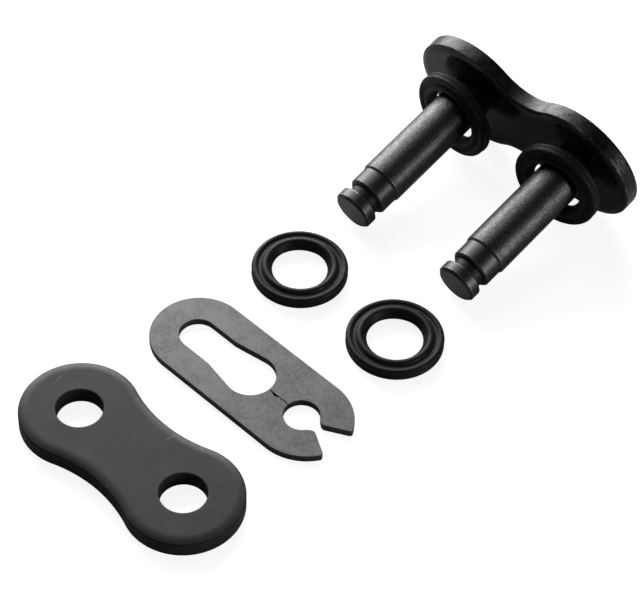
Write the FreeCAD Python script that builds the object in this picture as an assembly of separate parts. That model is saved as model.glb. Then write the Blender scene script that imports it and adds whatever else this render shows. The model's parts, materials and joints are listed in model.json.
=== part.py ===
import FreeCAD, Part
import math
import os

# Connecting link of a seal-ring roller chain, taken apart and laid out in a row
# All sizes are in millimetres and angles in degrees. +X runs along the chain's pitch,
# the pins point towards -Y and +Z is up. Every piece lies on the plane Z = 0, and the
# origin is on that plane, under the middle of the layout.

# Chain
pitch = 15.875

# Plates
pin_plate_end_r = 7.65
pin_plate_waist_cut = 2.55
cover_end_r = 6.55
cover_waist_cut = 1.45
plate_t = 2.05
roll_w = 1.15
roll_drop = 0.3
roll_brow_r = 0.12
sheared_edge_r = 0.12
hole_rim_r = 0.15

# Pins
shank_d = 5.35
shank_l = 15.65
shoulder_chamfer = 0.15
shoulder_chamfer_l = 0.3
seat_d = 5.0
seat_chamfer = 0.25
groove_d = 3.9
head_l = 1.45
head_chamfer = 0.3
head_back_chamfer = 0.1
rivet_l = 0.6
rivet_sink = 0.3
rivet_round = 0.35
dimple_d = 2.6
dimple_depth = 0.25

# Seal rings: a blunt nose in the bore, a crest near it and a wide lobe at the rim on each face
seal_w = 2.33
seal_h = 1.75
seal_nose_r = 0.3
seal_crest_r = 0.42
seal_crest_from_bore = 0.79
seal_valley_r = 0.2
seal_lobe_r = 0.44
seal_lobe_h = 1.44

# Spring clip
clip_t = 0.85
clip_w = 11.0
clip_nose_r = 6.1
clip_nose_sweep = 62.8
clip_tip_r = 0.4
clip_throat_w = 1.0
clip_throat_step = 0.4
clip_throat_r = 0.65
clip_flare_angle = 33.0
slot_overrun = 0.15
slot_straight_l = 3.6
slot_wide_x = 8.0
slot_shoulder_r = 2.0
slit_w = 0.07
slit_end_w = 0.04
slit_notch_from_slot = 1.05
slit_notch_l = 1.0
slit_notch_depth = 0.24

# Clearances and play between mating pieces
cover_hole_gap = 0.08
cover_seat_play = 0.25
clip_hole_gap = 0.1
clip_slot_gap = 0.3
clip_head_gap = 0.7
clip_groove_play = 0.25
seal_slack = 0.91
seal_hang_gap = 0.02

# Layout: free space between the rows, and how each piece lies
cover_to_clip = 4.85
clip_to_seals = 3.95
seals_to_tips = 3.6
cover_shift = -0.6
clip_shift = 0.15
clip_turn = -0.5
loose_seals_apart = 3.7
loose_seals_shift = 0.5
left_seal_along = 2.8
left_seal_lean = 9.0
left_seal_turn = 4.0
right_seal_along = 2.95
right_seal_lean = 10.0
right_seal_turn = -6.5

# Sizes that follow
half_pitch = pitch / 2
shank_r = shank_d / 2
seat_r = seat_d / 2
seat_l = plate_t + cover_seat_play
groove_w = clip_t + clip_groove_play
groove_from = shank_l + seat_l
head_from = groove_from + groove_w
pin_reach = head_from + head_l
cover_hole_r = (seat_d + cover_hole_gap) / 2
clip_hole_r = (groove_d + clip_hole_gap) / 2
slot_narrow_r = (groove_d + clip_slot_gap) / 2
slot_wide_r = (seat_d + clip_head_gap) / 2
seal_bore_r = (shank_d + seal_slack) / 2
seal_outer_r = seal_bore_r + seal_w

# The roll is an arc from the top face down to the wall, with a small brow between the two
roll_r = (roll_w ** 2 + roll_drop ** 2) / (2 * roll_drop)
roll_brow_down = roll_r - math.sqrt((roll_r - roll_brow_r) ** 2 - (roll_w - roll_brow_r) ** 2)

ORIGIN = FreeCAD.Vector(0, 0, 0)
X_AXIS = FreeCAD.Vector(1, 0, 0)
Y_AXIS = FreeCAD.Vector(0, 1, 0)
Z_AXIS = FreeCAD.Vector(0, 0, 1)


def polar(centre_x, centre_y, radius, degrees):
    """Point on a circle in the XY plane."""
    turn = math.radians(degrees)
    return FreeCAD.Vector(centre_x + radius * math.cos(turn), centre_y + radius * math.sin(turn), 0)


def arc(centre_x, centre_y, radius, start, end):
    """Arc in the XY plane, run from the start angle to the end angle."""
    middle = (start + end) / 2
    points = [polar(centre_x, centre_y, radius, angle) for angle in (start, middle, end)]
    return Part.Arc(*points).toShape()


def line(start, end):
    return Part.LineSegment(start, end).toShape()


def prism(edges, height):
    """Solid over a closed outline in the XY plane."""
    return Part.Face(Part.Wire(edges)).extrude(Z_AXIS * height)


def edges_at_height(solid, z, keep):
    """Edges lying in the plane at height z whose middle passes the test."""
    found = []
    for edge in solid.Edges:
        box = edge.BoundBox
        level = abs(box.ZMin - z) < 1e-6 and abs(box.ZMax - z) < 1e-6
        if level and keep(edge.valueAt((edge.FirstParameter + edge.LastParameter) / 2)):
            found.append(edge)
    return found


def upright_edges_near(solid, spots):
    """Edges parallel to Z that stand on any of the given points of the XY plane."""
    found = []
    for edge in solid.Edges:
        box = edge.BoundBox
        foot = FreeCAD.Vector(box.XMin, box.YMin, 0)
        upright = box.XLength < 1e-6 and box.YLength < 1e-6
        if upright and any(foot.distanceToPoint(spot) < 1e-4 for spot in spots):
            found.append(edge)
    return found


# Chain plates
def plate_outline(end_r, waist_cut):
    """Two round ends joined by hollow flanks that are tangent to both ends."""
    waist = end_r - waist_cut
    flank_r = (half_pitch ** 2 + waist ** 2 - end_r ** 2) / (2 * waist_cut)
    flank_y = waist + flank_r
    turn = math.degrees(math.atan2(flank_y, half_pitch))
    return [
        arc(half_pitch, 0, end_r, turn - 180, 180 - turn),
        arc(0, flank_y, flank_r, -turn, turn - 180),
        arc(-half_pitch, 0, end_r, turn, 360 - turn),
        arc(0, -flank_y, flank_r, 180 - turn, turn),
    ]


def roll_waste(centre_x, centre_y, wall_r, inwards, start, sweep):
    """What the roll takes off above one arc of the outline: its profile, turned about the arc's centre."""
    crown = wall_r + inwards * roll_w
    clear = wall_r - inwards * roll_w
    slope = math.asin(roll_w / roll_r) / 2
    low = plate_t - roll_drop
    halfway = (crown - inwards * roll_r * math.sin(slope), plate_t - roll_r * (1 - math.cos(slope)))
    spots = [(crown, plate_t), halfway, (wall_r, low), (clear, low), (clear, 2 * plate_t), (crown, 2 * plate_t)]
    points = [FreeCAD.Vector(radius, 0, z) for radius, z in spots]
    edges = [Part.Arc(*points[:3]).toShape()]
    edges += [line(before, after) for before, after in zip(points[2:], points[3:] + points[:1])]
    waste = Part.Face(Part.Wire(edges)).revolve(ORIGIN, Z_AXIS, sweep)
    waste.Placement = FreeCAD.Placement(
        FreeCAD.Vector(centre_x, centre_y, 0), FreeCAD.Rotation(Z_AXIS, start)
    )
    return waste


def blank_plate(end_r, waist_cut):
    """Stamped plate on Z = 0 with its rolled edge on top and its sheared edge below."""
    waist = end_r - waist_cut
    flank_r = (half_pitch ** 2 + waist ** 2 - end_r ** 2) / (2 * waist_cut)
    flank_y = waist + flank_r
    turn = math.degrees(math.atan2(flank_y, half_pitch))
    plate = prism(plate_outline(end_r, waist_cut), plate_t)
    wastes = [
        roll_waste(half_pitch, 0, end_r, -1, turn - 180, 360 - 2 * turn),
        roll_waste(0, flank_y, flank_r, 1, turn - 180, 180 - 2 * turn),
        roll_waste(-half_pitch, 0, end_r, -1, turn, 360 - 2 * turn),
        roll_waste(0, -flank_y, flank_r, 1, turn, 180 - 2 * turn),
    ]
    for waste in wastes:
        plate = plate.cut(waste)
    plate = plate.makeFillet(roll_brow_r, edges_at_height(plate, plate_t - roll_drop, lambda middle: True))
    return plate.makeFillet(sheared_edge_r, edges_at_height(plate, 0, lambda middle: True))


def pierced(plate, radius, rim_heights):
    """The plate with both pin holes, their rims rounded at the given heights."""
    for x in (-half_pitch, half_pitch):
        plate = plate.cut(Part.makeCylinder(radius, plate_t, FreeCAD.Vector(x, 0, 0)))
    for z in rim_heights:
        near_hole = lambda middle: abs(abs(middle.x) - half_pitch) < radius * 1.01 and abs(middle.y) < radius * 1.01
        plate = plate.makeFillet(hole_rim_r, edges_at_height(plate, z, near_hole))
    return plate


def make_cover_plate():
    return pierced(blank_plate(cover_end_r, cover_waist_cut), cover_hole_r, (0, plate_t))


def make_pin_plate():
    """Inner face on Z = 0, with the pins' holes sunk on the outer face for riveting."""
    plate = blank_plate(pin_plate_end_r, pin_plate_waist_cut)
    plate = pierced(plate, shank_r, (plate_t,))
    for x in (-half_pitch, half_pitch):
        sink = Part.makeCone(shank_r + rivet_sink, shank_r, rivet_sink, FreeCAD.Vector(x, 0, 0))
        plate = plate.cut(sink)
    plate.translate(Z_AXIS * -plate_t)
    return plate


# Pins
def make_pin():
    """Pin along +Z: riveted end below the plate, shank, stepped seat, groove and head."""
    end = -plate_t - rivet_l
    flare_r = shank_r + rivet_sink
    head_r = seat_r
    profile = [
        (0, end + dimple_depth),
        (dimple_d / 2, end),
        (flare_r, end),
        (flare_r, -plate_t),
        (shank_r, rivet_sink - plate_t),
        (shank_r, shank_l - shoulder_chamfer_l),
        (shank_r - shoulder_chamfer, shank_l),
        (seat_r, shank_l),
        (seat_r, groove_from - seat_chamfer),
        (seat_r - seat_chamfer, groove_from),
        (groove_d / 2, groove_from),
        (groove_d / 2, head_from),
        (head_r - head_back_chamfer, head_from),
        (head_r, head_from + head_back_chamfer),
        (head_r, pin_reach - head_chamfer),
        (head_r - head_chamfer, pin_reach),
        (0, pin_reach),
    ]
    corners = [FreeCAD.Vector(radius, 0, z) for radius, z in profile]
    face = Part.Face(Part.makePolygon(corners + corners[:1]))
    pin = face.revolve(ORIGIN, Z_AXIS, 360)
    crown = edges_at_height(pin, end, lambda middle: math.hypot(middle.x, middle.y) > dimple_d / 2 * 1.01)
    return pin.makeFillet(rivet_round, crown)


# Seal rings
def valley_between(first, second, radius):
    """Hollow that touches two crests from above, the second being nearer the bore."""
    apart = math.dist(first[:2], second[:2])
    radius = max(radius, 0.51 * (apart - first[2] - second[2]))
    reach = first[2] + radius
    along = (reach ** 2 - (second[2] + radius) ** 2 + apart ** 2) / (2 * apart)
    rise = math.sqrt(reach ** 2 - along ** 2)
    x = (second[0] - first[0]) / apart
    y = (second[1] - first[1]) / apart
    return first[0] + x * along + y * rise, first[1] + y * along - x * rise, -radius


def belt(rounds):
    """Outline that runs anticlockwise over rounds, each a centre and a radius, below zero where hollow."""
    normals = []
    for before, after in zip(rounds, rounds[1:] + rounds[:1]):
        apart = math.dist(before[:2], after[:2])
        heading = math.atan2(after[1] - before[1], after[0] - before[0])
        share = max(-1.0, min(1.0, (before[2] - after[2]) / apart))
        normals.append(math.degrees(heading - math.acos(share)))
    edges = []
    for (x, y, radius), arrive, leave in zip(rounds, normals[-1:] + normals[:-1], normals):
        sweep = (leave - arrive) % 360 if radius > 0 else -((arrive - leave) % 360)
        start = polar(x, y, radius, arrive)
        if edges and start.distanceToPoint(edges[-1][1]) > 1e-6:
            edges.append((line(edges[-1][1], start), start))
        edges.append((arc(x, y, radius, arrive, arrive + sweep), polar(x, y, radius, leave)))
    opening = polar(rounds[0][0], rounds[0][1], rounds[0][2], normals[-1])
    edges.append((line(edges[-1][1], opening), opening))
    return [edge for edge, end in edges]


def make_seal():
    """Ring about +Z, centred on the origin, turned from its section."""
    lobe = (seal_outer_r - seal_lobe_r, seal_lobe_h / 2 - seal_lobe_r, seal_lobe_r)
    crest = (seal_bore_r + seal_crest_from_bore, seal_h / 2 - seal_crest_r, seal_crest_r)
    nose = (seal_bore_r + seal_nose_r, 0, seal_nose_r)
    upper = [lobe, valley_between(lobe, crest, seal_valley_r), crest]
    lower = [(x, -y, radius) for x, y, radius in upper[::-1]]
    profile = Part.Face(Part.Wire(belt(upper + [nose] + lower)))
    profile.rotate(ORIGIN, X_AXIS, 90)
    return profile.revolve(ORIGIN, Z_AXIS, 360)


# Spring clip
def clip_body():
    """Flat clip on Z = 0, closed end round the origin, nose and mouth towards +X."""
    half_w = clip_w / 2
    nose_y = half_w - clip_nose_r
    tip = polar(pitch, nose_y, clip_nose_r, 90 - clip_nose_sweep)
    throat = FreeCAD.Vector(pitch + clip_hole_r + clip_throat_step, clip_throat_w / 2, 0)
    flare = polar(pitch, 0, clip_hole_r, clip_flare_angle)
    mirrored = [FreeCAD.Vector(point.x, -point.y, 0) for point in (tip, throat, flare)]
    tip_below, throat_below, flare_below = mirrored
    outline = [
        arc(0, 0, half_w, 270, 90),
        line(FreeCAD.Vector(0, half_w, 0), FreeCAD.Vector(pitch, half_w, 0)),
        arc(pitch, nose_y, clip_nose_r, 90, 90 - clip_nose_sweep),
        line(tip, throat),
        line(throat, flare),
        arc(pitch, 0, clip_hole_r, clip_flare_angle, 360 - clip_flare_angle),
        line(flare_below, throat_below),
        line(throat_below, tip_below),
        arc(pitch, -nose_y, clip_nose_r, clip_nose_sweep - 90, -90),
        line(FreeCAD.Vector(pitch, -half_w, 0), FreeCAD.Vector(0, -half_w, 0)),
    ]
    body = prism(outline, clip_t)
    body = body.makeFillet(clip_tip_r, upright_edges_near(body, [tip, tip_below]))
    return body.makeFillet(clip_throat_r, upright_edges_near(body, [throat, throat_below]))


def clip_slot():
    """Pear-shaped slot: it drops over a pin head and slides along into the groove."""
    shoulder = FreeCAD.Vector(slot_straight_l, slot_narrow_r, 0)
    shoulder_below = FreeCAD.Vector(slot_straight_l, -slot_narrow_r, 0)
    run = slot_wide_x - slot_straight_l
    reach = math.hypot(run, slot_narrow_r)
    lean = math.degrees(math.atan2(slot_narrow_r, -run) - math.acos(slot_wide_r / reach))
    start = FreeCAD.Vector(-slot_overrun, slot_narrow_r, 0)
    start_below = FreeCAD.Vector(-slot_overrun, -slot_narrow_r, 0)
    outline = [
        arc(-slot_overrun, 0, slot_narrow_r, 270, 90),
        line(start, shoulder),
        line(shoulder, polar(slot_wide_x, 0, slot_wide_r, lean)),
        arc(slot_wide_x, 0, slot_wide_r, lean, -lean),
        line(polar(slot_wide_x, 0, slot_wide_r, -lean), shoulder_below),
        line(shoulder_below, start_below),
    ]
    slot = prism(outline, clip_t)
    return slot.makeFillet(slot_shoulder_r, upright_edges_near(slot, [shoulder, shoulder_below]))


def clip_slit():
    """Shear line that parts the two spring arms, with the small nick the punch leaves."""
    slot_end = slot_wide_x + slot_wide_r
    start = slot_wide_x
    end = pitch
    nick = slot_end + slit_notch_from_slot
    corners = [
        (start, slit_w / 2),
        (end, slit_end_w / 2),
        (end, -slit_end_w / 2),
        (nick + slit_notch_l / 2, -slit_end_w / 2),
        (nick, -slit_w / 2 - slit_notch_depth),
        (nick - slit_notch_l / 2, -slit_w / 2),
        (start, -slit_w / 2),
    ]
    points = [FreeCAD.Vector(x, y, 0) for x, y in corners]
    return Part.Face(Part.makePolygon(points + points[:1])).extrude(Z_AXIS * clip_t)


def make_spring_clip():
    return clip_body().cut(clip_slot()).cut(clip_slit())


# Layout
def settle_angle():
    """Tilt at which the brow of the plate's roll and the pins' tips both touch the floor."""
    rise = pin_plate_end_r - roll_brow_r - seat_r
    run = pin_reach - head_chamfer + roll_brow_down
    return math.degrees(math.atan2(rise, run) + math.asin(roll_brow_r / math.hypot(rise, run)))


tilt = settle_angle()
tilt_sin = math.sin(math.radians(tilt))
tilt_cos = math.cos(math.radians(tilt))
pin_height = seat_r * tilt_cos + (pin_reach - head_chamfer) * tilt_sin
tips_front = (seat_r - head_chamfer) * tilt_sin + pin_reach * tilt_cos
plate_back = (
    (pin_plate_end_r - sheared_edge_r) * tilt_sin
    + (plate_t - sheared_edge_r) * tilt_cos
    + sheared_edge_r
)

# Rows from front to back, with equal room in front of and behind the origin
depth = (
    2 * cover_end_r + cover_to_clip + clip_w + clip_to_seals
    + 2 * seal_outer_r + seals_to_tips + tips_front + plate_back
)
cover_y = cover_end_r - depth / 2
clip_y = cover_y + cover_end_r + cover_to_clip + clip_w / 2
loose_seals_y = clip_y + clip_w / 2 + clip_to_seals + seal_outer_r
pin_plate_y = depth / 2 - plate_back
loose_seal_x = seal_outer_r + loose_seals_apart / 2

standing = FreeCAD.Placement(FreeCAD.Vector(0, pin_plate_y, pin_height), FreeCAD.Rotation(X_AXIS, 90 + tilt))


def hanging_seal(x, along, lean, turn):
    """Placement of a seal ring that hangs from a pin by the nose of its bore."""
    drop = (seal_bore_r + seal_nose_r) * math.cos(math.radians(lean))
    below = drop - shank_r - seal_nose_r - seal_hang_gap
    turned = FreeCAD.Rotation(X_AXIS, -lean).multiply(FreeCAD.Rotation(Y_AXIS, -turn))
    return standing.multiply(FreeCAD.Placement(FreeCAD.Vector(x, -below, along), turned))


def placed(shape, placement):
    copy = shape.copy()
    copy.Placement = placement.multiply(shape.Placement)
    return copy


def on_floor(x, y, z, turn):
    return FreeCAD.Placement(FreeCAD.Vector(x, y, z), FreeCAD.Rotation(Z_AXIS, turn))


def make_pieces():
    pin = make_pin()
    seal = make_seal()
    clip = make_spring_clip()
    clip.translate(X_AXIS * -half_pitch)
    pieces = {
        "pin_plate": placed(make_pin_plate(), standing),
        "spring_clip": placed(clip, on_floor(clip_shift, clip_y, 0, clip_turn)),
        "cover_plate": placed(make_cover_plate(), on_floor(cover_shift, cover_y, 0, 0)),
    }
    for side, sign in (("left", -1), ("right", 1)):
        foot = FreeCAD.Placement(X_AXIS * (sign * half_pitch), FreeCAD.Rotation())
        pieces[side + "_pin"] = placed(pin, standing.multiply(foot))
        loose_x = loose_seals_shift + sign * loose_seal_x
        pieces[side + "_loose_seal"] = placed(seal, on_floor(loose_x, loose_seals_y, seal_h / 2, 0))
    hung = {
        "left_pin_seal": hanging_seal(-half_pitch, left_seal_along, left_seal_lean, left_seal_turn),
        "right_pin_seal": hanging_seal(half_pitch, right_seal_along, right_seal_lean, right_seal_turn),
    }
    for name, placement in hung.items():
        pieces[name] = placed(seal, placement)
    return pieces


def main():
    os.makedirs("parts", exist_ok=True)
    for name, shape in make_pieces().items():
        shape.exportStep("parts/" + name + ".step")


main()
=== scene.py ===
# Connecting link of a seal-ring roller chain, taken apart and laid out in a row.
# Pieces are shaped in millimetres, in their own axes, and set down in the frame in metres.

import json
import math
import random

import bpy
import numpy as np
from mathutils import Matrix, Vector, noise
from mathutils.geometry import delaunay_2d_cdt


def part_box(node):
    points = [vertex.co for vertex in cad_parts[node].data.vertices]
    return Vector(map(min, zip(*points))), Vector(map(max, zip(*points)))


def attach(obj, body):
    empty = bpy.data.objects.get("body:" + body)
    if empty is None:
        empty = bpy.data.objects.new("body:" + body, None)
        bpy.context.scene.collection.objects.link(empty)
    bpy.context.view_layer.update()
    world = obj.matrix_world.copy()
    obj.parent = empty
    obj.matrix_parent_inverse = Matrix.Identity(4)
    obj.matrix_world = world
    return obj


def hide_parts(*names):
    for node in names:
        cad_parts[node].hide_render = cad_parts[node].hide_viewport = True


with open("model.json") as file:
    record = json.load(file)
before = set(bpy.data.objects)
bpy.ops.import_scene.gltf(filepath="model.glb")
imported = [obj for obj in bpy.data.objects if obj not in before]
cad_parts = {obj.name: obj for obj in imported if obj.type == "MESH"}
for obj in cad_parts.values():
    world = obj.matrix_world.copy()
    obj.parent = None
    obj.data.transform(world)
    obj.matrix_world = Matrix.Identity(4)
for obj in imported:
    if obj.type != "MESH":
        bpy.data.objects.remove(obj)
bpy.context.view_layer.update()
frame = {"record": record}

MM = 0.001

# Chain and plates
pitch = 15.875
plate_t = 2.05
pin_plate_end_r = 7.65
pin_plate_waist_cut = 2.55
cover_end_r = 6.55
cover_waist_cut = 1.45
roll_w = 1.15
roll_drop = 0.3
roll_brow_r = 0.12
sheared_edge_r = 0.12
hole_rim_r = 0.15

# Pins
shank_r = 2.675
shank_l = 15.65
shoulder_chamfer = 0.15
shoulder_chamfer_l = 0.3
seat_r = 2.5
seat_chamfer = 0.25
groove_r = 1.95
head_l = 1.45
head_chamfer = 0.3
head_back_chamfer = 0.1
rivet_l = 0.6
rivet_sink = 0.3
rivet_round = 0.35
dimple_r = 1.3
dimple_depth = 0.25

# Seal rings
seal_w = 2.33
seal_h = 1.75
seal_nose_r = 0.3
seal_crest_r = 0.42
seal_crest_from_bore = 0.79
seal_valley_r = 0.34
seal_lobe_r = 0.38
seal_rim_groove_r = 0.12
seal_lobe_h = 1.44
seal_leans = {"left": 9.0, "right": 10.0}
seal_turns = {"left": 4.0, "right": -6.5}

# Spring clip
clip_t = 0.85
clip_half_w = 5.5
clip_turn = -0.5
clip_nose_r = 6.1
clip_nose_sweep = 62.8
clip_tip_r = 0.4
clip_throat_w = 1.0
clip_throat_step = 0.4
clip_throat_r = 0.65
clip_flare_angle = 33.0
clip_upper_edge_r = 0.07
clip_lower_edge_r = 0.04
clip_break_step = 0.012
slot_overrun = 0.15
slot_straight_l = 3.6
slot_wide_x = 8.0
slot_shoulder_r = 2.0
slit_w = 0.07
slit_end_w = 0.04
slit_notch_from_slot = 1.05
slit_notch_l = 1.0
slit_notch_depth = 0.24

# Play between the pieces, in radius where it is round a pin
cover_hole_play = 0.04
cover_seat_play = 0.25
clip_groove_play = 0.25
clip_hole_play = 0.05
clip_slot_play = 0.15
clip_head_play = 0.35
seal_bore_play = 0.455

# Worked out from the sizes above
half_pitch = pitch / 2
groove_from = shank_l + plate_t + cover_seat_play
head_from = groove_from + clip_t + clip_groove_play
pin_reach = head_from + head_l
cover_hole_r = seat_r + cover_hole_play
clip_hole_r = groove_r + clip_hole_play
slot_narrow_r = groove_r + clip_slot_play
slot_wide_r = seat_r + clip_head_play
seal_bore_r = shank_r + seal_bore_play
seal_outer_r = seal_bore_r + seal_w

# Spacing of the vertices on faces and on outlines
front_spacing = 0.25
back_spacing = 0.35
plate_outline_spacing = 0.2
clip_outline_spacing = 0.16
seal_section_spacing = 0.04
pin_round_spacing = 0.02
pin_segments = 144
seal_segments = 240


# Outlines in the XY plane
def polar(x, y, radius, degrees):
    """Point at a distance and a bearing from a centre."""
    turn = math.radians(degrees)
    return Vector((x + radius * math.cos(turn), y + radius * math.sin(turn)))


def arc(x, y, radius, start, end, spacing):
    """Points along an arc, both ends included."""
    steps = max(2, math.ceil(abs(math.radians(end - start)) * abs(radius) / spacing))
    return [polar(x, y, radius, start + (end - start) * i / steps) for i in range(steps + 1)]


def straight(start, end, spacing):
    """Points between two corners, both ends left out."""
    steps = max(1, math.ceil((end - start).length / spacing))
    return [start.lerp(end, i / steps) for i in range(1, steps)]


def joined(runs):
    """One closed outline from runs of points, with no point twice."""
    same_point = 1e-5
    points = []
    for run in runs:
        for point in run:
            if not points or (point - points[-1]).length > same_point:
                points.append(point)
    if (points[0] - points[-1]).length < same_point:
        points.pop()
    return points


def corner_round(before, corner, after, radius, spacing):
    """Points of the arc that rounds off a corner between two straight lines."""
    into = (before - corner).normalized()
    out = (after - corner).normalized()
    half = into.angle(out) / 2
    centre = corner + (into + out).normalized() * (radius / math.sin(half))
    first = corner + into * (radius / math.tan(half)) - centre
    last = corner + out * (radius / math.tan(half)) - centre
    sweep = first.angle_signed(last)
    steps = max(3, math.ceil(abs(sweep) * radius / spacing))
    start = math.atan2(first.y, first.x)
    turns = [start - sweep * i / steps for i in range(steps + 1)]
    return [centre + Vector((math.cos(turn), math.sin(turn))) * radius for turn in turns]


def normals_of(points):
    """Outward normals of a closed outline that runs anticlockwise round the solid."""
    count = len(points)
    found = []
    for i in range(count):
        ahead = (points[(i + 1) % count] - points[i]).normalized()
        behind = (points[i] - points[i - 1]).normalized()
        along = ahead + behind
        found.append(Vector((along.y, -along.x)).normalized())
    return found


def plate_outline(end_r, waist_cut, spacing):
    """Two round ends joined by hollow flanks that are tangent to both ends."""
    waist = end_r - waist_cut
    flank_r = (half_pitch ** 2 + waist ** 2 - end_r ** 2) / (2 * waist_cut)
    flank_y = waist + flank_r
    turn = math.degrees(math.atan2(flank_y, half_pitch))
    return joined([
        arc(half_pitch, 0, end_r, turn - 180, 180 - turn, spacing),
        arc(0, flank_y, flank_r, -turn, turn - 180, spacing),
        arc(-half_pitch, 0, end_r, turn, 360 - turn, spacing),
        arc(0, -flank_y, flank_r, 180 - turn, turn, spacing),
    ])


def hole_outline(x, radius, spacing):
    """Round hole, run clockwise so that its normals point into the hole."""
    return joined([arc(x, 0, radius, 360, 0, spacing)])


# Meshes
class Build:
    """Vertices and faces of one piece, in its own axes and in millimetres."""

    def __init__(self):
        self.points = []
        self.faces = []
        self.slots = []
        self.wear_and_light_levels = []

    def add(self, point, wear_and_light=0.0):
        """Index of a new vertex, with its edge mark from 0 to 1, which the finishes paint as rubbed
        wear, painted highlight and painted shade.
        """
        self.points.append(Vector(point))
        self.wear_and_light_levels.append(wear_and_light)
        return len(self.points) - 1

    def face(self, corners, slot=0):
        """One face over vertices that run anticlockwise as seen from outside."""
        self.faces.append(corners)
        self.slots.append(slot)

    def band(self, first, second, slot=0):
        """Quads between two closed loops of the same length."""
        count = len(first)
        for i in range(count):
            after = (i + 1) % count
            self.face((first[i], first[after], second[after], second[i]), slot)

    def swept(self, outline, section, slot_of, wear_and_light_of):
        """Loops of points, each the outline moved inwards and set at a height, joined by bands."""
        normals = normals_of(outline)
        loops = []
        for inset, height in section:
            wear_and_light = wear_and_light_of(inset, height)
            loops.append([
                self.add((p.x - n.x * inset, p.y - n.y * inset, height), wear_and_light)
                for p, n in zip(outline, normals)
            ])
        for i in range(len(loops) - 1):
            middle = (section[i][1] + section[i + 1][1]) / 2
            self.band(loops[i + 1], loops[i], slot_of(middle))
        return loops

    def flat(self, borders, height, up, spacing, relief):
        """Fine triangles over a flat face between its border loops, on a grid of staggered rows."""
        row_share = 0.866
        border_share = 0.6
        only_inside = 1
        tolerance = 1e-7
        rims = [[self.points[i].to_2d() for i in border] for border in borders]
        ring = np.array([p[:] for rim in rims for p in rim])
        low, high = ring.min(0), ring.max(0)
        coords = [Vector(p) for p in ring]
        indices = [i for border in borders for i in border]
        edges = []
        for rim in rims:
            base = len(edges)
            edges += [(base + i, base + (i + 1) % len(rim)) for i in range(len(rim))]
        columns = np.arange(low[0], high[0], spacing)
        rows = np.arange(low[1], high[1], spacing * row_share)
        grid = np.array([(x + spacing / 2 * (k % 2), y) for k, y in enumerate(rows) for x in columns])
        grid = grid[inside(grid, rims)]
        gap = np.min(np.linalg.norm(grid[:, None, :] - ring[None, :, :], axis=2), axis=1)
        clear = gap > spacing * border_share
        for (x, y), room in zip(grid[clear], gap[clear]):
            coords.append(Vector((x, y)))
            indices.append(self.add((x, y, height + up * relief(x, y, room))))
        found = delaunay_2d_cdt(coords, edges, [], only_inside, tolerance)
        verts, triangles, origin = found[0], found[2], found[3]
        where = [indices[sources[0]] for sources in origin]
        middles = np.array([sum((verts[i] for i in t), Vector((0, 0)))[:] for t in triangles]) / 3
        kept = inside(middles, rims)
        for triangle, keep in zip(triangles, kept):
            if keep:
                corners = [where[i] for i in triangle]
                self.face(corners if up > 0 else corners[::-1])

    def piece(self, name, node, slot, placement, materials):
        """The finished object, in the frame, in place of its node."""
        mesh = bpy.data.meshes.new(name)
        mesh.from_pydata([placement @ point * MM for point in self.points], [], self.faces)
        mesh.validate()
        wear_and_light = mesh.attributes.new("wear_and_light", "FLOAT", "POINT")
        wear_and_light.data.foreach_set("value", self.wear_and_light_levels)
        local = mesh.attributes.new("local", "FLOAT_VECTOR", "POINT")
        local.data.foreach_set("vector", [c for point in self.points for c in point])
        for material in materials:
            mesh.materials.append(material)
        mesh.polygons.foreach_set("material_index", self.slots)
        mesh.polygons.foreach_set("use_smooth", [True] * len(self.faces))
        mesh.update()
        thing = bpy.data.objects.new(name, mesh)
        bpy.context.scene.collection.objects.link(thing)
        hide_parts(node)
        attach(thing, "root")


def inside(spots, rims):
    """Which spots lie inside an odd number of the closed rims."""
    odd = np.zeros(len(spots), bool)
    x, y = spots[:, 0], spots[:, 1]
    for rim in rims:
        ring = np.array([p[:] for p in rim])
        for (x0, y0), (x1, y1) in zip(ring, np.roll(ring, -1, axis=0)):
            if y0 != y1:
                crosses = (y0 > y) != (y1 > y)
                odd ^= crosses & (x < (x1 - x0) * (y - y0) / (y1 - y0) + x0)
    return odd


def quarter_round(radius, top):
    """Insets and heights of the round that falls from a flat face into the wall."""
    steps = 4
    turns = [math.pi / 2 * i / steps for i in range(steps + 1)]
    return [(radius * (1 - math.sin(turn)), top - radius * (1 - math.cos(turn))) for turn in turns]


def rolled_section():
    """Edge of a stamped plate: the roll from the top face, its brow, the wall and the sheared foot."""
    top_margin = 0.1
    foot_margin = 0.06
    roll_spacing = 0.08
    brow_spacing = 0.03
    foot_spacing = 0.05
    roll_r = (roll_w ** 2 + roll_drop ** 2) / (2 * roll_drop)
    roll_z = plate_t - roll_r
    rise = math.sqrt((roll_r - roll_brow_r) ** 2 - (roll_w - roll_brow_r) ** 2)
    brow_z = roll_z + rise
    slope = math.degrees(math.atan2(roll_w - roll_brow_r, rise))
    foot = sheared_edge_r
    roll = arc(0, roll_z, roll_r, 90, 90 - slope, roll_spacing)
    brow = arc(0, brow_z, roll_brow_r, 90 - slope, 0, brow_spacing)[1:]
    return (
        [(roll_w + top_margin, plate_t)]
        + [(roll_w - p.x, p.y) for p in roll]
        + [(roll_brow_r - p.x, p.y) for p in brow]
        + [(0.0, foot + (brow_z - foot) * share) for share in (0.75, 0.5, 0.25)]
        + [(foot - p.x, foot + p.y) for p in arc(0, 0, foot, 0, -90, foot_spacing)]
        + [(foot + foot_margin, 0.0)]
    )


def hole_section(sink):
    """Wall of a pin hole, with a rounded rim on top and a rounded rim or a countersink below."""
    margin = 0.04
    rim = hole_rim_r
    section = [(rim + margin, plate_t)] + quarter_round(rim, plate_t) + [(0.0, plate_t / 2)]
    if sink:
        return section + [(0.0, sink), (sink, 0.0), (sink + margin, 0.0)]
    section += [(inset, -height) for inset, height in quarter_round(rim, 0)[::-1]]
    return section + [(rim + margin, 0.0)]


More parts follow.
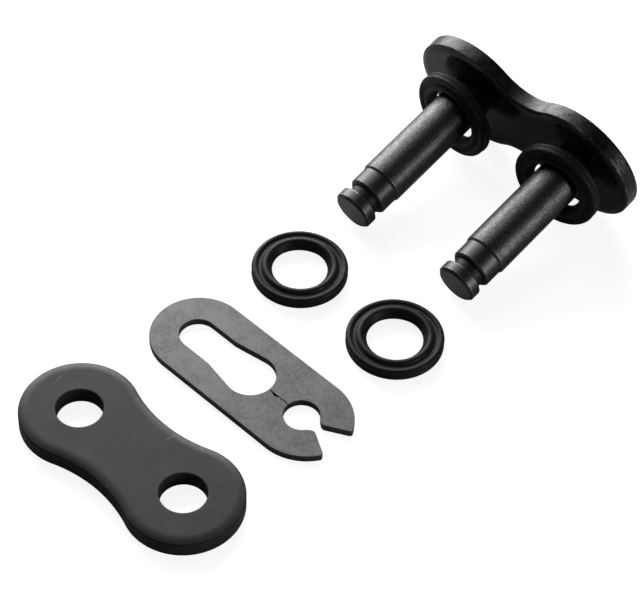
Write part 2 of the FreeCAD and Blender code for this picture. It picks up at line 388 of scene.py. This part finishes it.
def dented(seed, reach_x, reach_y, dents, wave):
    """Relief of a tumbled face: broad faint waves, and small round dents that stay clear of the rims."""
    waves_per_mm = 0.35
    calm_rim_w = 0.9
    dent_r = (0.25, 0.6)
    dent_depth = (0.003, 0.01)
    chance = random.Random(seed)
    spots = [
        (chance.uniform(-reach_x, reach_x), chance.uniform(-reach_y, reach_y),
         chance.uniform(*dent_r), chance.uniform(*dent_depth))
        for _ in range(dents)
    ]

    def relief(x, y, room):
        height = wave * (noise.noise(Vector((x * waves_per_mm, y * waves_per_mm, seed))) - 1)
        for spot_x, spot_y, size, depth in spots:
            near = 1 - ((x - spot_x) ** 2 + (y - spot_y) ** 2) / size ** 2
            if near > 0:
                height -= depth * near * near
        return height * min(1.0, room / calm_rim_w) ** 2

    return relief


def plate(end_r, waist_cut, hole_r, sink, seed):
    """Stamped plate on Z = 0: rolled edge on top, sheared edge below, two punched holes."""
    build = Build()
    wall_top = plate_t - roll_drop - 0.02
    brow_foot = wall_top - roll_brow_r
    wall_wear = 0.25
    hole_wall_top = plate_t - hole_rim_r / 3
    hole_rim_foot = plate_t - hole_rim_r * 2 / 3
    # Edge mark on the hole rims, which the finishes paint lighter: partly rubbed wear, partly painted
    # highlight.
    hole_rim_wear_and_light = 0.7
    # Edge mark rising to 1 at the outer edge of the roll: painted lighter as partly rubbed wear and
    # partly painted highlight, and near-black along the cover's brow as painted shade.
    borders = [build.swept(
        plate_outline(end_r, waist_cut, plate_outline_spacing),
        rolled_section(),
        lambda height: 1 if height < wall_top else 0,
        lambda inset, height: max(0.0, 1 - inset / roll_w) if height > brow_foot else wall_wear,
    )]
    for x in (-half_pitch, half_pitch):
        borders.append(build.swept(
            hole_outline(x, hole_r, plate_outline_spacing),
            hole_section(sink),
            lambda height: 1 if height < hole_wall_top else 0,
            lambda inset, height: hole_rim_wear_and_light if height > hole_rim_foot else 0.0,
        ))
    relief = dented(seed, half_pitch + end_r, end_r, dents=26, wave=0.006)
    build.flat([border[0] for border in borders], plate_t, 1, front_spacing, relief)
    build.flat([border[-1] for border in borders], 0.0, -1, back_spacing, relief)
    return build


# Turned pieces
def softened(profile, radius, spacing):
    """Open profile with its inner corners rounded, and a point a little way off each round."""
    side_share = 0.38
    guard_l = 0.05
    guard_share = 0.3
    points = [profile[0]]
    for before, corner, after in zip(profile, profile[1:], profile[2:]):
        reach = side_share * min((before - corner).length, (after - corner).length)
        half = (before - corner).angle(after - corner) / 2
        size = min(radius, reach * math.tan(half))
        arc_points = corner_round(before, corner, after, size, spacing)
        guard = min(guard_l, guard_share * reach)
        into = (before - corner).normalized() * guard
        out = (after - corner).normalized() * guard
        points += [arc_points[0] + into] + arc_points + [arc_points[-1] + out]
    return points + [profile[-1]]


def turned(profile, segments, slot_of, wear_and_light_of):
    """Profile of radius and height, turned about Z and closed at both ends on the axis."""
    build = Build()
    on_axis = 1e-6
    turns = [2 * math.pi * i / segments for i in range(segments)]
    loops = []
    for x, z in profile:
        if x < on_axis:
            loops.append([build.add((0, 0, z), wear_and_light_of(z))])
        else:
            loops.append([
                build.add((x * math.cos(turn), x * math.sin(turn), z), wear_and_light_of(z)) for turn in turns
            ])
    for first, second, start, end in zip(loops, loops[1:], profile, profile[1:]):
        slot = slot_of((start.y + end.y) / 2)
        if len(first) == 1:
            for i in range(segments):
                build.face((first[0], second[(i + 1) % segments], second[i]), slot)
        elif len(second) == 1:
            for i in range(segments):
                build.face((first[i], first[(i + 1) % segments], second[0]), slot)
        else:
            build.band(first, second, slot)
    return build


def pin_wear_and_light(height):
    """0 on the tumbled shank, 0.5 on the ground end, 1 along the edges, which pin_finish paints bright
    as partly rubbed wear and partly painted highlight.
    """
    rub_and_highlight_half_w = 0.04
    edges = (
        shank_l - shoulder_chamfer_l,
        groove_from - seat_chamfer,
        head_from + head_back_chamfer,
        pin_reach - head_chamfer,
    )
    if min(abs(height - edge) for edge in edges) < rub_and_highlight_half_w:
        return 1.0
    return 0.5 if height > shank_l else 0.0


def pin_slot(height):
    """1 in the groove, 2 on the end face, 0 elsewhere."""
    end_face_depth = 0.005
    if groove_from < height < head_from:
        return 1
    return 2 if height > pin_reach - end_face_depth else 0


def pin():
    """Pin along Z: riveted end below the plate, shank, stepped seat, groove and head."""
    edge_r = 0.07
    dimple_lip_w = 0.25
    dimple_lip_l = 0.02
    crown_w = 0.3
    crown_bend_w = 0.08
    crown_bend_l = 0.12
    end = -plate_t - rivet_l
    flare_r = shank_r + rivet_sink
    corners = [
        (0, end + dimple_depth),
        (dimple_r, end + dimple_lip_l),
        (dimple_r + dimple_lip_w, end),
        (flare_r - crown_w, end),
        (flare_r - crown_bend_w, end + crown_bend_l),
        (flare_r, end + rivet_round),
        (flare_r, -plate_t),
        (shank_r, rivet_sink - plate_t),
        (shank_r, shank_l - shoulder_chamfer_l),
        (shank_r - shoulder_chamfer, shank_l),
        (seat_r, shank_l),
        (seat_r, groove_from - seat_chamfer),
        (seat_r - seat_chamfer, groove_from),
        (groove_r, groove_from),
        (groove_r, head_from),
        (seat_r - head_back_chamfer, head_from),
        (seat_r, head_from + head_back_chamfer),
        (seat_r, pin_reach - head_chamfer),
        (seat_r - head_chamfer, pin_reach),
        (0, pin_reach),
    ]
    profile = softened([Vector(corner) for corner in corners], edge_r, pin_round_spacing)
    return turned(profile, pin_segments, pin_slot, pin_wear_and_light)


def valley_between(first, second, radius):
    """Hollow that touches two crests from above, the second being nearer the bore."""
    least_share = 0.51
    apart = math.dist(first[:2], second[:2])
    radius = max(radius, least_share * (apart - first[2] - second[2]))
    reach = first[2] + radius
    along = (reach ** 2 - (second[2] + radius) ** 2 + apart ** 2) / (2 * apart)
    rise = math.sqrt(reach ** 2 - along ** 2)
    x = (second[0] - first[0]) / apart
    y = (second[1] - first[1]) / apart
    return first[0] + x * along + y * rise, first[1] + y * along - x * rise, -radius


def belt(rounds, spacing):
    """Anticlockwise outline over rounds, each a centre and a radius, which is negative in a hollow."""
    normals = []
    for before, after in zip(rounds, rounds[1:] + rounds[:1]):
        apart = math.dist(before[:2], after[:2])
        heading = math.atan2(after[1] - before[1], after[0] - before[0])
        share = max(-1.0, min(1.0, (before[2] - after[2]) / apart))
        normals.append(math.degrees(heading - math.acos(share)))
    runs = []
    for (x, y, radius), arrive, leave in zip(rounds, normals[-1:] + normals[:-1], normals):
        sweep = (leave - arrive) % 360 if radius > 0 else -((arrive - leave) % 360)
        around = arc(x, y, radius, arrive, arrive + sweep, spacing)
        if runs:
            runs.append(straight(runs[-1][-1], around[0], 2 * spacing) + around)
        else:
            runs.append(around)
    return joined(runs + [straight(runs[-1][-1], runs[0][0], 2 * spacing)])


def seal():
    """Ring about Z, centred on the origin, turned from its section of crests and hollows."""
    lobe = (seal_outer_r - seal_lobe_r, seal_lobe_h / 2 - seal_lobe_r, seal_lobe_r)
    crest = (seal_bore_r + seal_crest_from_bore, seal_h / 2 - seal_crest_r, seal_crest_r)
    nose = (seal_bore_r + seal_nose_r, 0, seal_nose_r)
    upper = [lobe, valley_between(lobe, crest, seal_valley_r), crest]
    lower = [(x, -y, radius) for x, y, radius in upper[::-1]]
    reach = math.sqrt((seal_lobe_r + seal_rim_groove_r) ** 2 - lobe[1] ** 2)
    groove = (lobe[0] + reach, 0, -seal_rim_groove_r)
    build = Build()
    turns = [2 * math.pi * i / seal_segments for i in range(seal_segments)]
    loops = [
        [build.add((p.x * math.cos(turn), p.x * math.sin(turn), p.y)) for turn in turns]
        for p in belt(upper + [nose] + lower + [groove], seal_section_spacing)
    ]
    for first, second in zip(loops, loops[1:] + loops[:1]):
        build.band(first, second)
    return build


# Spring clip
def clip_outline(spacing):
    """Round the clip, in through its mouth, round the small hole, and along the slit round the slot."""
    nose_y = clip_half_w - clip_nose_r
    slit_half = slit_w / 2
    slit_end_half = slit_end_w / 2
    slit_fall = (slit_half - slit_end_half) / (pitch - slot_wide_x)
    run = slot_wide_x - slot_straight_l
    reach = math.hypot(run, slot_narrow_r)
    lean = math.degrees(math.atan2(slot_narrow_r, -run) - math.acos(slot_wide_r / reach))
    slot_end = slot_wide_x + slot_wide_r
    nick = slot_end + slit_notch_from_slot
    nick_start = Vector((nick + slit_notch_l / 2, -slit_end_half))
    hole_side = pitch - clip_hole_r
    upper_from = slit_half - slit_fall * slot_wide_r
    upper_to = slit_half - slit_fall * (hole_side - slot_wide_x)
    tip_angle = 90 - clip_nose_sweep
    before_tip_angle = tip_angle + 0.6
    nose_end = tip_angle + math.degrees(clip_tip_r / clip_nose_r)

    def half_mouth(side):
        """Rounded tip, rounded throat and flare, from the nose to the small hole."""
        before_tip = polar(pitch, nose_y, clip_nose_r, before_tip_angle)
        tip = polar(pitch, nose_y, clip_nose_r, tip_angle)
        throat = Vector((pitch + clip_hole_r + clip_throat_step, clip_throat_w / 2))
        flare = polar(pitch, 0, clip_hole_r, clip_flare_angle)
        run_in = (
            corner_round(before_tip, tip, throat, clip_tip_r, spacing / 2)
            + corner_round(tip, throat, flare, clip_throat_r, spacing / 2)
            + [flare]
        )
        return [Vector((p.x, side * p.y)) for p in run_in]

    def shoulder(side):
        """The rounded step from the slot's wide end to its straight run."""
        wide = polar(slot_wide_x, 0, slot_wide_r, lean)
        corner = Vector((slot_straight_l, slot_narrow_r))
        straight_end = Vector((-slot_overrun, slot_narrow_r))
        rounded = corner_round(wide, corner, straight_end, slot_shoulder_r, spacing)
        return [Vector((p.x, side * p.y)) for p in rounded]

    def angle_at(height, radius):
        """Bearing at which a circle centred on the X axis reaches a height."""
        return math.degrees(math.asin(height / radius))

    slit_at_hole = angle_at(slit_end_half, clip_hole_r)
    return joined([
        arc(0, 0, clip_half_w, 90, 270, spacing),
        straight(Vector((0, -clip_half_w)), Vector((pitch, -clip_half_w)), spacing),
        arc(pitch, -nose_y, clip_nose_r, -90, -nose_end, spacing),
        half_mouth(-1),
        arc(pitch, 0, clip_hole_r, -clip_flare_angle, slit_at_hole - 180, spacing),
        straight(Vector((hole_side, -slit_end_half)), nick_start, spacing),
        [nick_start,
         Vector((nick, -slit_half - slit_notch_depth)),
         Vector((nick - slit_notch_l / 2, -slit_half))],
        arc(slot_wide_x, 0, slot_wide_r, -angle_at(slit_half, slot_wide_r), -lean, spacing),
        shoulder(-1),
        arc(-slot_overrun, 0, slot_narrow_r, -90, -270, spacing),
        shoulder(1)[::-1],
        arc(slot_wide_x, 0, slot_wide_r, lean, angle_at(upper_from, slot_wide_r), spacing),
        straight(Vector((slot_end, upper_from)), Vector((hole_side, upper_to)), spacing),
        arc(pitch, 0, clip_hole_r, 180 - angle_at(upper_to, clip_hole_r), clip_flare_angle, spacing),
        half_mouth(1)[::-1],
        arc(pitch, nose_y, clip_nose_r, nose_end, 90, spacing),
        straight(Vector((pitch, clip_half_w)), Vector((0, clip_half_w)), spacing),
    ])


def clip():
    """Blanked spring steel, with a soft rolled edge above and a crisp one below."""
    build = Build()
    upper = clip_upper_edge_r
    lower = clip_lower_edge_r
    step = clip_break_step
    break_top = clip_t * 0.62
    break_foot = clip_t * 0.55
    margin = 0.03
    foot_margin = 0.04
    wall_top = clip_t - upper * 0.6
    edge_foot = clip_t - upper * 1.2
    edge_wear = 1.0
    wall_wear = 0.3
    section = [(upper + margin, clip_t)] + quarter_round(upper, clip_t)
    section += [(0.0, break_top), (step, break_foot), (step, lower + margin)]
    section += [(step + lower * 0.3, lower * 0.3), (lower + step, 0.0), (lower + foot_margin, 0.0)]
    loops = build.swept(
        clip_outline(clip_outline_spacing), section,
        lambda height: 1 if height < wall_top else 0,
        lambda inset, height: edge_wear if height > edge_foot else wall_wear,
    )
    relief = dented(11, pitch, clip_half_w, dents=18, wave=0.003)
    build.flat([loops[0]], clip_t, 1, front_spacing, relief)
    build.flat([loops[-1]], 0.0, -1, back_spacing, relief)
    return build


# Materials
class Finish:
    """A procedural finish worked out in each piece's own axes, in millimetres."""

    def __init__(self, name, colour, roughness, metallic=0.0, specular=0.5):
        self.material = bpy.data.materials.new(name)
        self.material.use_nodes = True
        self.tree = self.material.node_tree
        self.shader = self.tree.nodes["Principled BSDF"]
        self.shader.inputs["Base Color"].default_value = (*colour, 1)
        self.shader.inputs["Roughness"].default_value = roughness
        self.shader.inputs["Metallic"].default_value = metallic
        self.shader.inputs["Specular IOR Level"].default_value = specular
        self.spot = self.attribute("local").outputs["Vector"]

    def node(self, kind, **settings):
        made = self.tree.nodes.new(kind)
        for key, value in settings.items():
            setattr(made, key, value)
        return made

    def link(self, source, target):
        self.tree.links.new(source, target)

    def attribute(self, name):
        return self.node("ShaderNodeAttribute", attribute_type="GEOMETRY", attribute_name=name)

    # Edge mark, painted as rubbed wear, painted highlight and painted shade by the finishes.
    def wear_and_light(self):
        return self.attribute("wear_and_light").outputs["Fac"]

    def grain(self, size, detail=3.0, roughness=0.55, stretch=(1, 1, 1)):
        """Noise whose features are about size millimetres across, longer where it is stretched."""
        scaled = self.node("ShaderNodeVectorMath", operation="MULTIPLY")
        self.link(self.spot, scaled.inputs[0])
        scaled.inputs[1].default_value = [1 / (size * s) for s in stretch]
        made = self.node("ShaderNodeTexNoise")
        made.inputs["Scale"].default_value = 1.0
        made.inputs["Detail"].default_value = detail
        made.inputs["Roughness"].default_value = roughness
        self.link(scaled.outputs["Vector"], made.inputs["Vector"])
        return made.outputs["Fac"]

    def span(self, value, low, high, to_low=0.0, to_high=1.0):
        """The value, stretched from one range to another and held inside it."""
        made = self.node("ShaderNodeMapRange", interpolation_type="SMOOTHSTEP")
        made.inputs["From Min"].default_value = low
        made.inputs["From Max"].default_value = high
        made.inputs["To Min"].default_value = to_low
        made.inputs["To Max"].default_value = to_high
        self.link(value, made.inputs["Value"])
        return made.outputs["Result"]

    def maths(self, operation, first, second):
        """Result of one operation, held between 0 and 1 where it is a product."""
        made = self.node("ShaderNodeMath", operation=operation, use_clamp=operation == "MULTIPLY")
        for target, value in zip(made.inputs, (first, second)):
            if isinstance(value, float):
                target.default_value = value
            else:
                self.link(value, target)
        return made.outputs["Value"]

    def times(self, first, second):
        return self.maths("MULTIPLY", first, second)

    def mixed(self, share, first, second):
        """One colour where share is 0, the other where it is 1."""
        made = self.node("ShaderNodeMix", data_type="RGBA")
        self.link(share, made.inputs["Factor"])
        for target, value in zip((made.inputs["A"], made.inputs["B"]), (first, second)):
            if isinstance(value, tuple):
                target.default_value = (*value, 1)
            else:
                self.link(value, target)
        return made.outputs["Result"]

    def colour(self, source):
        self.link(source, self.shader.inputs["Base Color"])

    def rough(self, source):
        self.link(source, self.shader.inputs["Roughness"])

    def bumps(self, *layers):
        """Layers of relief, each a height from 0 to 1 and its depth in millimetres."""
        normal = None
        for height, depth in layers:
            bump = self.node("ShaderNodeBump")
            bump.inputs["Strength"].default_value = 1.0
            bump.inputs["Distance"].default_value = depth * MM
            self.link(height, bump.inputs["Height"])
            if normal:
                self.link(normal, bump.inputs["Normal"])
            normal = bump.outputs["Normal"]
        self.link(normal, self.shader.inputs["Normal"])


def cover_finish():
    """Satin blackened steel: cloudy tone, fine tooth, a few specks and scratches, lighter patches on the
    rolled edge and hole rims that are partly rubbed wear and partly painted highlight, and painted shade
    along the brow.
    """
    made = Finish("cover_satin", (0.05, 0.05, 0.052), 0.42, specular=0.22)
    cloud = made.span(made.grain(2.2, 4), 0.3, 0.7)
    tooth = made.grain(0.11, 2)
    # Lighter patches on the rolled edge and the hole rims: partly rubbed wear, partly painted highlight.
    rub_and_highlight = made.times(made.wear_and_light(), made.span(made.grain(0.5, 4), 0.35, 0.65))
    base = made.mixed(cloud, (0.053, 0.0535, 0.055), (0.065, 0.0655, 0.067))
    rolled = made.mixed(made.times(rub_and_highlight, 0.3), base, (0.1, 0.1, 0.102))
    dusty = made.span(made.grain(2.5, 2), 0.52, 0.62)
    specks = made.times(made.span(made.grain(0.16, 2, 0.8), 0.64, 0.7), dusty)
    handled = made.span(made.grain(3.0, 2), 0.5, 0.58)
    scratches = made.times(handled, made.span(made.grain(0.5, 2, stretch=(1, 7, 1)), 0.66, 0.69))
    marked = made.mixed(made.maths("MAXIMUM", specks, scratches), rolled, (0.12, 0.12, 0.122))
    # Near-black band along the brow where roll and wall meet: painted shade.
    brow = made.span(made.wear_and_light(), 0.88, 0.97, 0.0, 0.95)
    made.colour(made.mixed(brow, marked, (0.004, 0.004, 0.004)))
    made.rough(made.span(made.grain(0.6, 5), 0.3, 0.7, 0.38, 0.5))
    made.bumps((made.grain(0.9, 3), 0.006), (tooth, 0.004))
    return made.material


def cover_wall_finish():
    """Sheared wall: darker, with the faint upright scores of the die."""
    made = Finish("cover_wall", (0.035, 0.035, 0.036), 0.5, specular=0.15)
    scores = made.grain(0.16, 3, stretch=(1, 1, 14))
    made.colour(made.mixed(made.span(scores, 0.3, 0.7), (0.034, 0.034, 0.0345), (0.054, 0.054, 0.055)))
    made.rough(made.span(made.grain(0.5, 4), 0.3, 0.7, 0.4, 0.6))
    made.bumps((scores, 0.004), (made.grain(0.12, 2), 0.004))
    return made.material


def scuffs_and_highlight(made, brow_from, under):
    """The colour given as under, with grey marks along the brow where face and wall meet, partly scuffs
    and partly painted highlight.
    """
    # Grey marks along the brow: partly scuffs, partly painted highlight.
    brow = made.span(made.wear_and_light(), brow_from, 0.97)
    patches = made.span(made.grain(1.1, 5, 0.65), 0.5, 0.62)
    return made.mixed(made.times(brow, patches), under, (0.14, 0.14, 0.142))


def plate_finish():
    """Black pin plate: near-black face, with grey patches and a lighter band on the rolled edge and hole
    rims, partly rubbed wear and partly painted highlight.
    """
    made = Finish("plate_black", (0.006, 0.006, 0.006), 0.2, specular=0.27)
    # Grey patches, and the roll lighter towards its outer edge: partly rubbed wear, partly painted
    # highlight.
    rub_and_highlight = made.times(made.wear_and_light(), made.span(made.grain(0.5, 5, 0.65), 0.5, 0.75))
    cloud = made.span(made.grain(1.8, 4), 0.3, 0.7)
    base = made.mixed(cloud, (0.003, 0.003, 0.0035), (0.007, 0.007, 0.0075))
    rolled = made.mixed(made.times(made.wear_and_light(), 0.4), base, (0.06, 0.06, 0.062))
    face = made.mixed(made.times(rub_and_highlight, 0.5), rolled, (0.1, 0.1, 0.102))
    made.colour(scuffs_and_highlight(made, 0.82, face))
    made.rough(made.span(made.grain(0.4, 5), 0.3, 0.7, 0.13, 0.24))
    made.bumps((made.grain(1.0, 3), 0.003), (made.grain(0.14, 2), 0.0008))
    return made.material


def plate_wall_finish():
    """Sheared wall of the pin plate: black, a little uneven, with faint lines along it."""
    made = Finish("plate_wall", (0.006, 0.006, 0.006), 0.4, specular=0.42)
    patches = made.span(made.grain(1.6, 3), 0.35, 0.6, 0.6, 1.1)
    drag = made.times(made.grain(0.2, 4, 0.6, stretch=(7, 7, 1)), patches)
    wall = made.mixed(made.span(drag, 0.4, 0.8), (0.003, 0.003, 0.003), (0.018, 0.018, 0.018))
    # Grey marks along the brow: partly scuffs, partly painted highlight.
    made.colour(scuffs_and_highlight(made, 0.8, wall))
    made.rough(made.span(made.grain(0.5, 4, 0.65, stretch=(2, 2, 1)), 0.35, 0.65, 0.24, 0.42))
    made.bumps((made.grain(0.8, 3, stretch=(1, 1, 0.5)), 0.05), (drag, 0.003))
    return made.material


def pin_finish():
    """Hardened steel, tumbled then blackened: pits and bright flecks on the shank, a smoother end, and
    bright lines along the edges that are partly rubbed wear and partly painted highlight.
    """
    made = Finish("pin_satin", (0.2, 0.2, 0.2), 0.34, metallic=1.0)
    tumbled = made.span(made.wear_and_light(), 0.15, 0.4, 1.0, 0.12)
    fine = made.grain(0.17, 3, 0.7)
    pits = made.times(tumbled, made.span(fine, 0.46, 0.66, 0.0, 0.9))
    flecks = made.times(tumbled, made.span(fine, 0.3, 0.38, 0.7, 0.0))
    cloud = made.span(made.grain(0.7, 4), 0.3, 0.7)
    shank = made.mixed(cloud, (0.1, 0.1, 0.1), (0.145, 0.145, 0.146))
    base = made.mixed(tumbled, (0.09, 0.09, 0.09), shank)
    pitted = made.mixed(pits, base, (0.03, 0.03, 0.0305))
    flecked = made.mixed(flecks, pitted, (0.34, 0.34, 0.342))
    broken = made.span(made.grain(0.7, 4), 0.36, 0.62, 0.15, 1.0)
    # Bright lines along the chamfer edges: partly rubbed wear, partly painted highlight.
    edge = made.times(made.span(made.wear_and_light(), 0.6, 0.9), broken)
    made.colour(made.mixed(edge, flecked, (0.36, 0.36, 0.362)))
    coarse = made.times(tumbled, made.grain(0.25, 3))
    shank_rough = made.span(coarse, 0.1, 0.7, 0.29, 0.42)
    made.rough(made.maths("ADD", shank_rough, made.span(tumbled, 0.2, 0.9, 0.12, 0.0)))
    made.bumps((coarse, 0.009), (pits, 0.008), (made.grain(0.12, 2, stretch=(8, 8, 1)), 0.002))
    return made.material


def pin_tip_finish():
    """Faced and blackened end of the pin."""
    made = Finish("pin_tip", (0.03, 0.03, 0.03), 0.55, metallic=0.3, specular=0.2)
    turned_face = made.grain(0.14, 3, stretch=(1, 1, 4))
    made.colour(made.mixed(made.span(turned_face, 0.3, 0.7), (0.165, 0.165, 0.165), (0.25, 0.25, 0.251)))
    made.bumps((made.grain(0.5, 3), 0.006), (turned_face, 0.003))
    return made.material


def pin_groove_finish():
    """Groove painted darker than the shank as painted shade in the recess, with the fine rings of its
    turning.
    """
    made = Finish("pin_groove", (0.03, 0.03, 0.03), 0.5, metallic=0.8)
    # Dark colour in the groove: painted shade in the recess.
    made.colour(made.mixed(made.grain(0.3), (0.02, 0.02, 0.02), (0.05, 0.05, 0.05)))
    made.bumps((made.grain(0.12, 2, stretch=(6, 6, 1)), 0.004))
    return made.material


def clip_finish():
    """Matte grey spring steel, tumbled: soft light and dark clouds under a fine grain."""
    made = Finish("clip_matte", (0.28, 0.285, 0.28), 0.5, metallic=0.6)
    speck = made.grain(0.19, 3, 0.65)
    cloud = made.span(made.grain(2.4, 5, 0.6), 0.36, 0.64)
    base = made.mixed(cloud, (0.074, 0.0755, 0.074), (0.132, 0.134, 0.131))
    made.colour(made.mixed(made.span(speck, 0.3, 0.75), base, (0.16, 0.162, 0.159)))
    made.rough(made.span(made.grain(1.5, 3), 0.3, 0.7, 0.38, 0.46))
    made.bumps((made.grain(0.6, 3), 0.006), (speck, 0.006))
    return made.material


def clip_wall_finish():
    """Blanked wall of the clip, with faint upright scores."""
    made = Finish("clip_wall", (0.05, 0.05, 0.05), 0.5, metallic=0.5, specular=0.3)
    scores = made.grain(0.1, 3, stretch=(1, 1, 10))
    made.colour(made.mixed(made.span(scores, 0.3, 0.7), (0.06, 0.06, 0.061), (0.11, 0.11, 0.112)))
    made.bumps((scores, 0.006))
    return made.material


def seal_finish():
    """Moulded black rubber: soft sheen, fine tooth and a breath of dust."""
    made = Finish("seal_rubber", (0.01, 0.01, 0.01), 0.4, specular=0.2)
    dust = made.span(made.grain(0.3, 5), 0.35, 0.75)
    made.colour(made.mixed(dust, (0.012, 0.012, 0.012), (0.027, 0.027, 0.027)))
    made.rough(made.span(made.grain(0.25, 4), 0.3, 0.7, 0.38, 0.56))
    made.bumps((made.grain(0.3, 3), 0.006), (made.grain(0.1, 2), 0.004))
    return made.material


# Places, taken from the frame
def centre_of(node):
    """Middle of the node's box, in millimetres."""
    low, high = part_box(node)
    return (low + high) / 2 / MM


def lying(node):
    """A piece that lies flat on the ground, in the middle of its node."""
    middle = centre_of(node)
    return Matrix.Translation((middle.x, middle.y, 0))


seats = {m["name"]: m for m in frame["record"]["mounts"]}
tip_way = Vector(seats["left_seat"]["axis"]).normalized()
tilt = math.atan2(-tip_way.z, -tip_way.y)
seat_middle = shank_l + (groove_from - seat_chamfer - shank_l) / 2
seats_middle = (Vector(seats["left_seat"]["pos_m"]) + Vector(seats["right_seat"]["pos_m"])) / 2 / MM
foot = seats_middle - tip_way * seat_middle
standing = Matrix.Translation(foot) @ Matrix.Rotation(math.pi / 2 + tilt, 4, "X")


def hanging(node, side):
    """The ring hangs on its pin, leaning from the pin's axis and turned a little about the upright."""
    lean = Matrix.Rotation(math.radians(-seal_leans[side]), 4, "X")
    turn = Matrix.Rotation(math.radians(-seal_turns[side]), 4, "Y")
    return Matrix.Translation(centre_of(node)) @ standing.to_3x3().to_4x4() @ lean @ turn


cover_materials = [cover_finish(), cover_wall_finish()]
plate_materials = [plate_finish(), plate_wall_finish()]
pin_materials = [pin_finish(), pin_groove_finish(), pin_tip_finish()]
clip_materials = [clip_finish(), clip_wall_finish()]
seal_materials = [seal_finish()]

cover = plate(cover_end_r, cover_waist_cut, cover_hole_r, sink=0.0, seed=3)
cover.piece("cover_plate_dressed", "cover_plate", "cover_steel", lying("cover_plate"), cover_materials)

pin_plate = plate(pin_plate_end_r, pin_plate_waist_cut, shank_r, sink=rivet_sink, seed=7)
pin_plate_place = standing @ Matrix.Translation((0, 0, -plate_t))
pin_plate.piece("pin_plate_dressed", "pin_plate", "blackened_plate", pin_plate_place, plate_materials)

for side, sign in (("left", -1), ("right", 1)):
    pin_place = standing @ Matrix.Translation((sign * half_pitch, 0, 0))
    pin().piece(side + "_pin_dressed", side + "_pin", "pin_steel", pin_place, pin_materials)
    hung = side + "_pin_seal"
    seal().piece(hung + "_dressed", hung, "seal_rubber", hanging(hung, side), seal_materials)
    loose = side + "_loose_seal"
    loose_place = Matrix.Translation(centre_of(loose))
    seal().piece(loose + "_dressed", loose, "seal_rubber", loose_place, seal_materials)

clip_hole = Vector(seats["clip_hole"]["pos_m"]) / MM
clip_place = (
    Matrix.Translation((clip_hole.x, clip_hole.y, 0))
    @ Matrix.Rotation(math.radians(clip_turn), 4, "Z")
    @ Matrix.Translation((-pitch, 0, 0))
)
clip().piece("spring_clip_dressed", "spring_clip", "clip_steel", clip_place, clip_materials)


# Floor
def paper_finish():
    """White paper as the camera sees it, faint in reflections, which still takes the pieces' shadows."""
    seen_glow = 0.88
    mirrored_glow = 0.03
    made = Finish("floor_paper", (0.5, 0.5, 0.5), 1.0, specular=0.0)
    ray = made.node("ShaderNodeLightPath").outputs
    either = made.maths("MAXIMUM", ray["Is Glossy Ray"], ray["Is Transmission Ray"])
    seen = made.times(ray["Is Camera Ray"], seen_glow)
    made.shader.inputs["Emission Color"].default_value = (1, 1, 1, 1)
    made.link(
        made.maths("ADD", seen, made.times(either, mirrored_glow)),
        made.shader.inputs["Emission Strength"],
    )
    return made.material


floor_reach = 3.0
floor_drop = 0.00002
floor_mesh = bpy.data.meshes.new("floor")
floor_corners = [
    (x * floor_reach, y * floor_reach, -floor_drop)
    for x, y in ((-1, -1), (1, -1), (1, 1), (-1, 1))
]
floor_mesh.from_pydata(floor_corners, [], [(0, 1, 2, 3)])
floor_mesh.materials.append(paper_finish())
floor = bpy.data.objects.new("floor", floor_mesh)
bpy.context.scene.collection.objects.link(floor)

# Studio light
world = bpy.data.worlds.new("studio")
bpy.context.scene.world = world
world.use_nodes = True
world.node_tree.nodes["Background"].inputs["Color"].default_value = (1, 1, 1, 1)
world.node_tree.nodes["Background"].inputs["Strength"].default_value = 0.04


def softbox(name, azimuth, elevation, distance, width, height, radiance):
    """Rectangular lamp that faces the middle of the layout, placed in degrees and metres."""
    lamp = bpy.data.lights.new(name, "AREA")
    lamp.shape = "RECTANGLE"
    lamp.size = width
    lamp.size_y = height
    lamp.energy = radiance * math.pi * width * height
    thing = bpy.data.objects.new(name, lamp)
    turn = math.radians(azimuth)
    rise = math.radians(elevation)
    away = Vector((math.cos(turn) * math.cos(rise), math.sin(turn) * math.cos(rise), math.sin(rise)))
    facing = away.to_track_quat("Z", "Y").to_matrix().to_4x4()
    thing.matrix_world = Matrix.Translation(away * distance) @ facing
    thing.visible_camera = False
    bpy.context.scene.collection.objects.link(thing)


softbox("key", azimuth=147, elevation=23, distance=0.26, width=0.27, height=0.2, radiance=6.2)
softbox("upper", azimuth=160, elevation=62, distance=0.3, width=0.14, height=0.1, radiance=1.6)
softbox("side", azimuth=14, elevation=13, distance=0.4, width=0.08, height=0.16, radiance=8.5)

# Camera, at the photograph's viewing angle
camera_azimuth = math.radians(-47.982)
camera_rise = math.radians(48.022)
camera_roll = math.radians(-2.557)
camera_distance = 272.05
camera_target = Vector((-2.950, 2.012, 0))
focal_px = 2423.911
image_width_px = 642
away = Vector((
    math.cos(camera_azimuth) * math.cos(camera_rise),
    math.sin(camera_azimuth) * math.cos(camera_rise),
    math.sin(camera_rise),
))
right = Vector((-math.sin(camera_azimuth), math.cos(camera_azimuth), 0))
up = away.cross(right)
roll_cos = math.cos(camera_roll)
roll_sin = math.sin(camera_roll)
axes = Matrix((right * roll_cos - up * roll_sin, right * roll_sin + up * roll_cos, away)).transposed()
lens = bpy.data.cameras.new("camera")
lens.sensor_fit = "HORIZONTAL"
lens.sensor_width = 36.0
lens.lens = focal_px * lens.sensor_width / image_width_px
lens.clip_start = 0.01
lens.clip_end = 20.0
camera = bpy.data.objects.new("camera", lens)
camera.matrix_world = Matrix.Translation((camera_target + away * camera_distance) * MM) @ axes.to_4x4()
bpy.context.scene.collection.objects.link(camera)
bpy.context.scene.camera = camera
bpy.context.scene.view_settings.view_transform = "Standard"
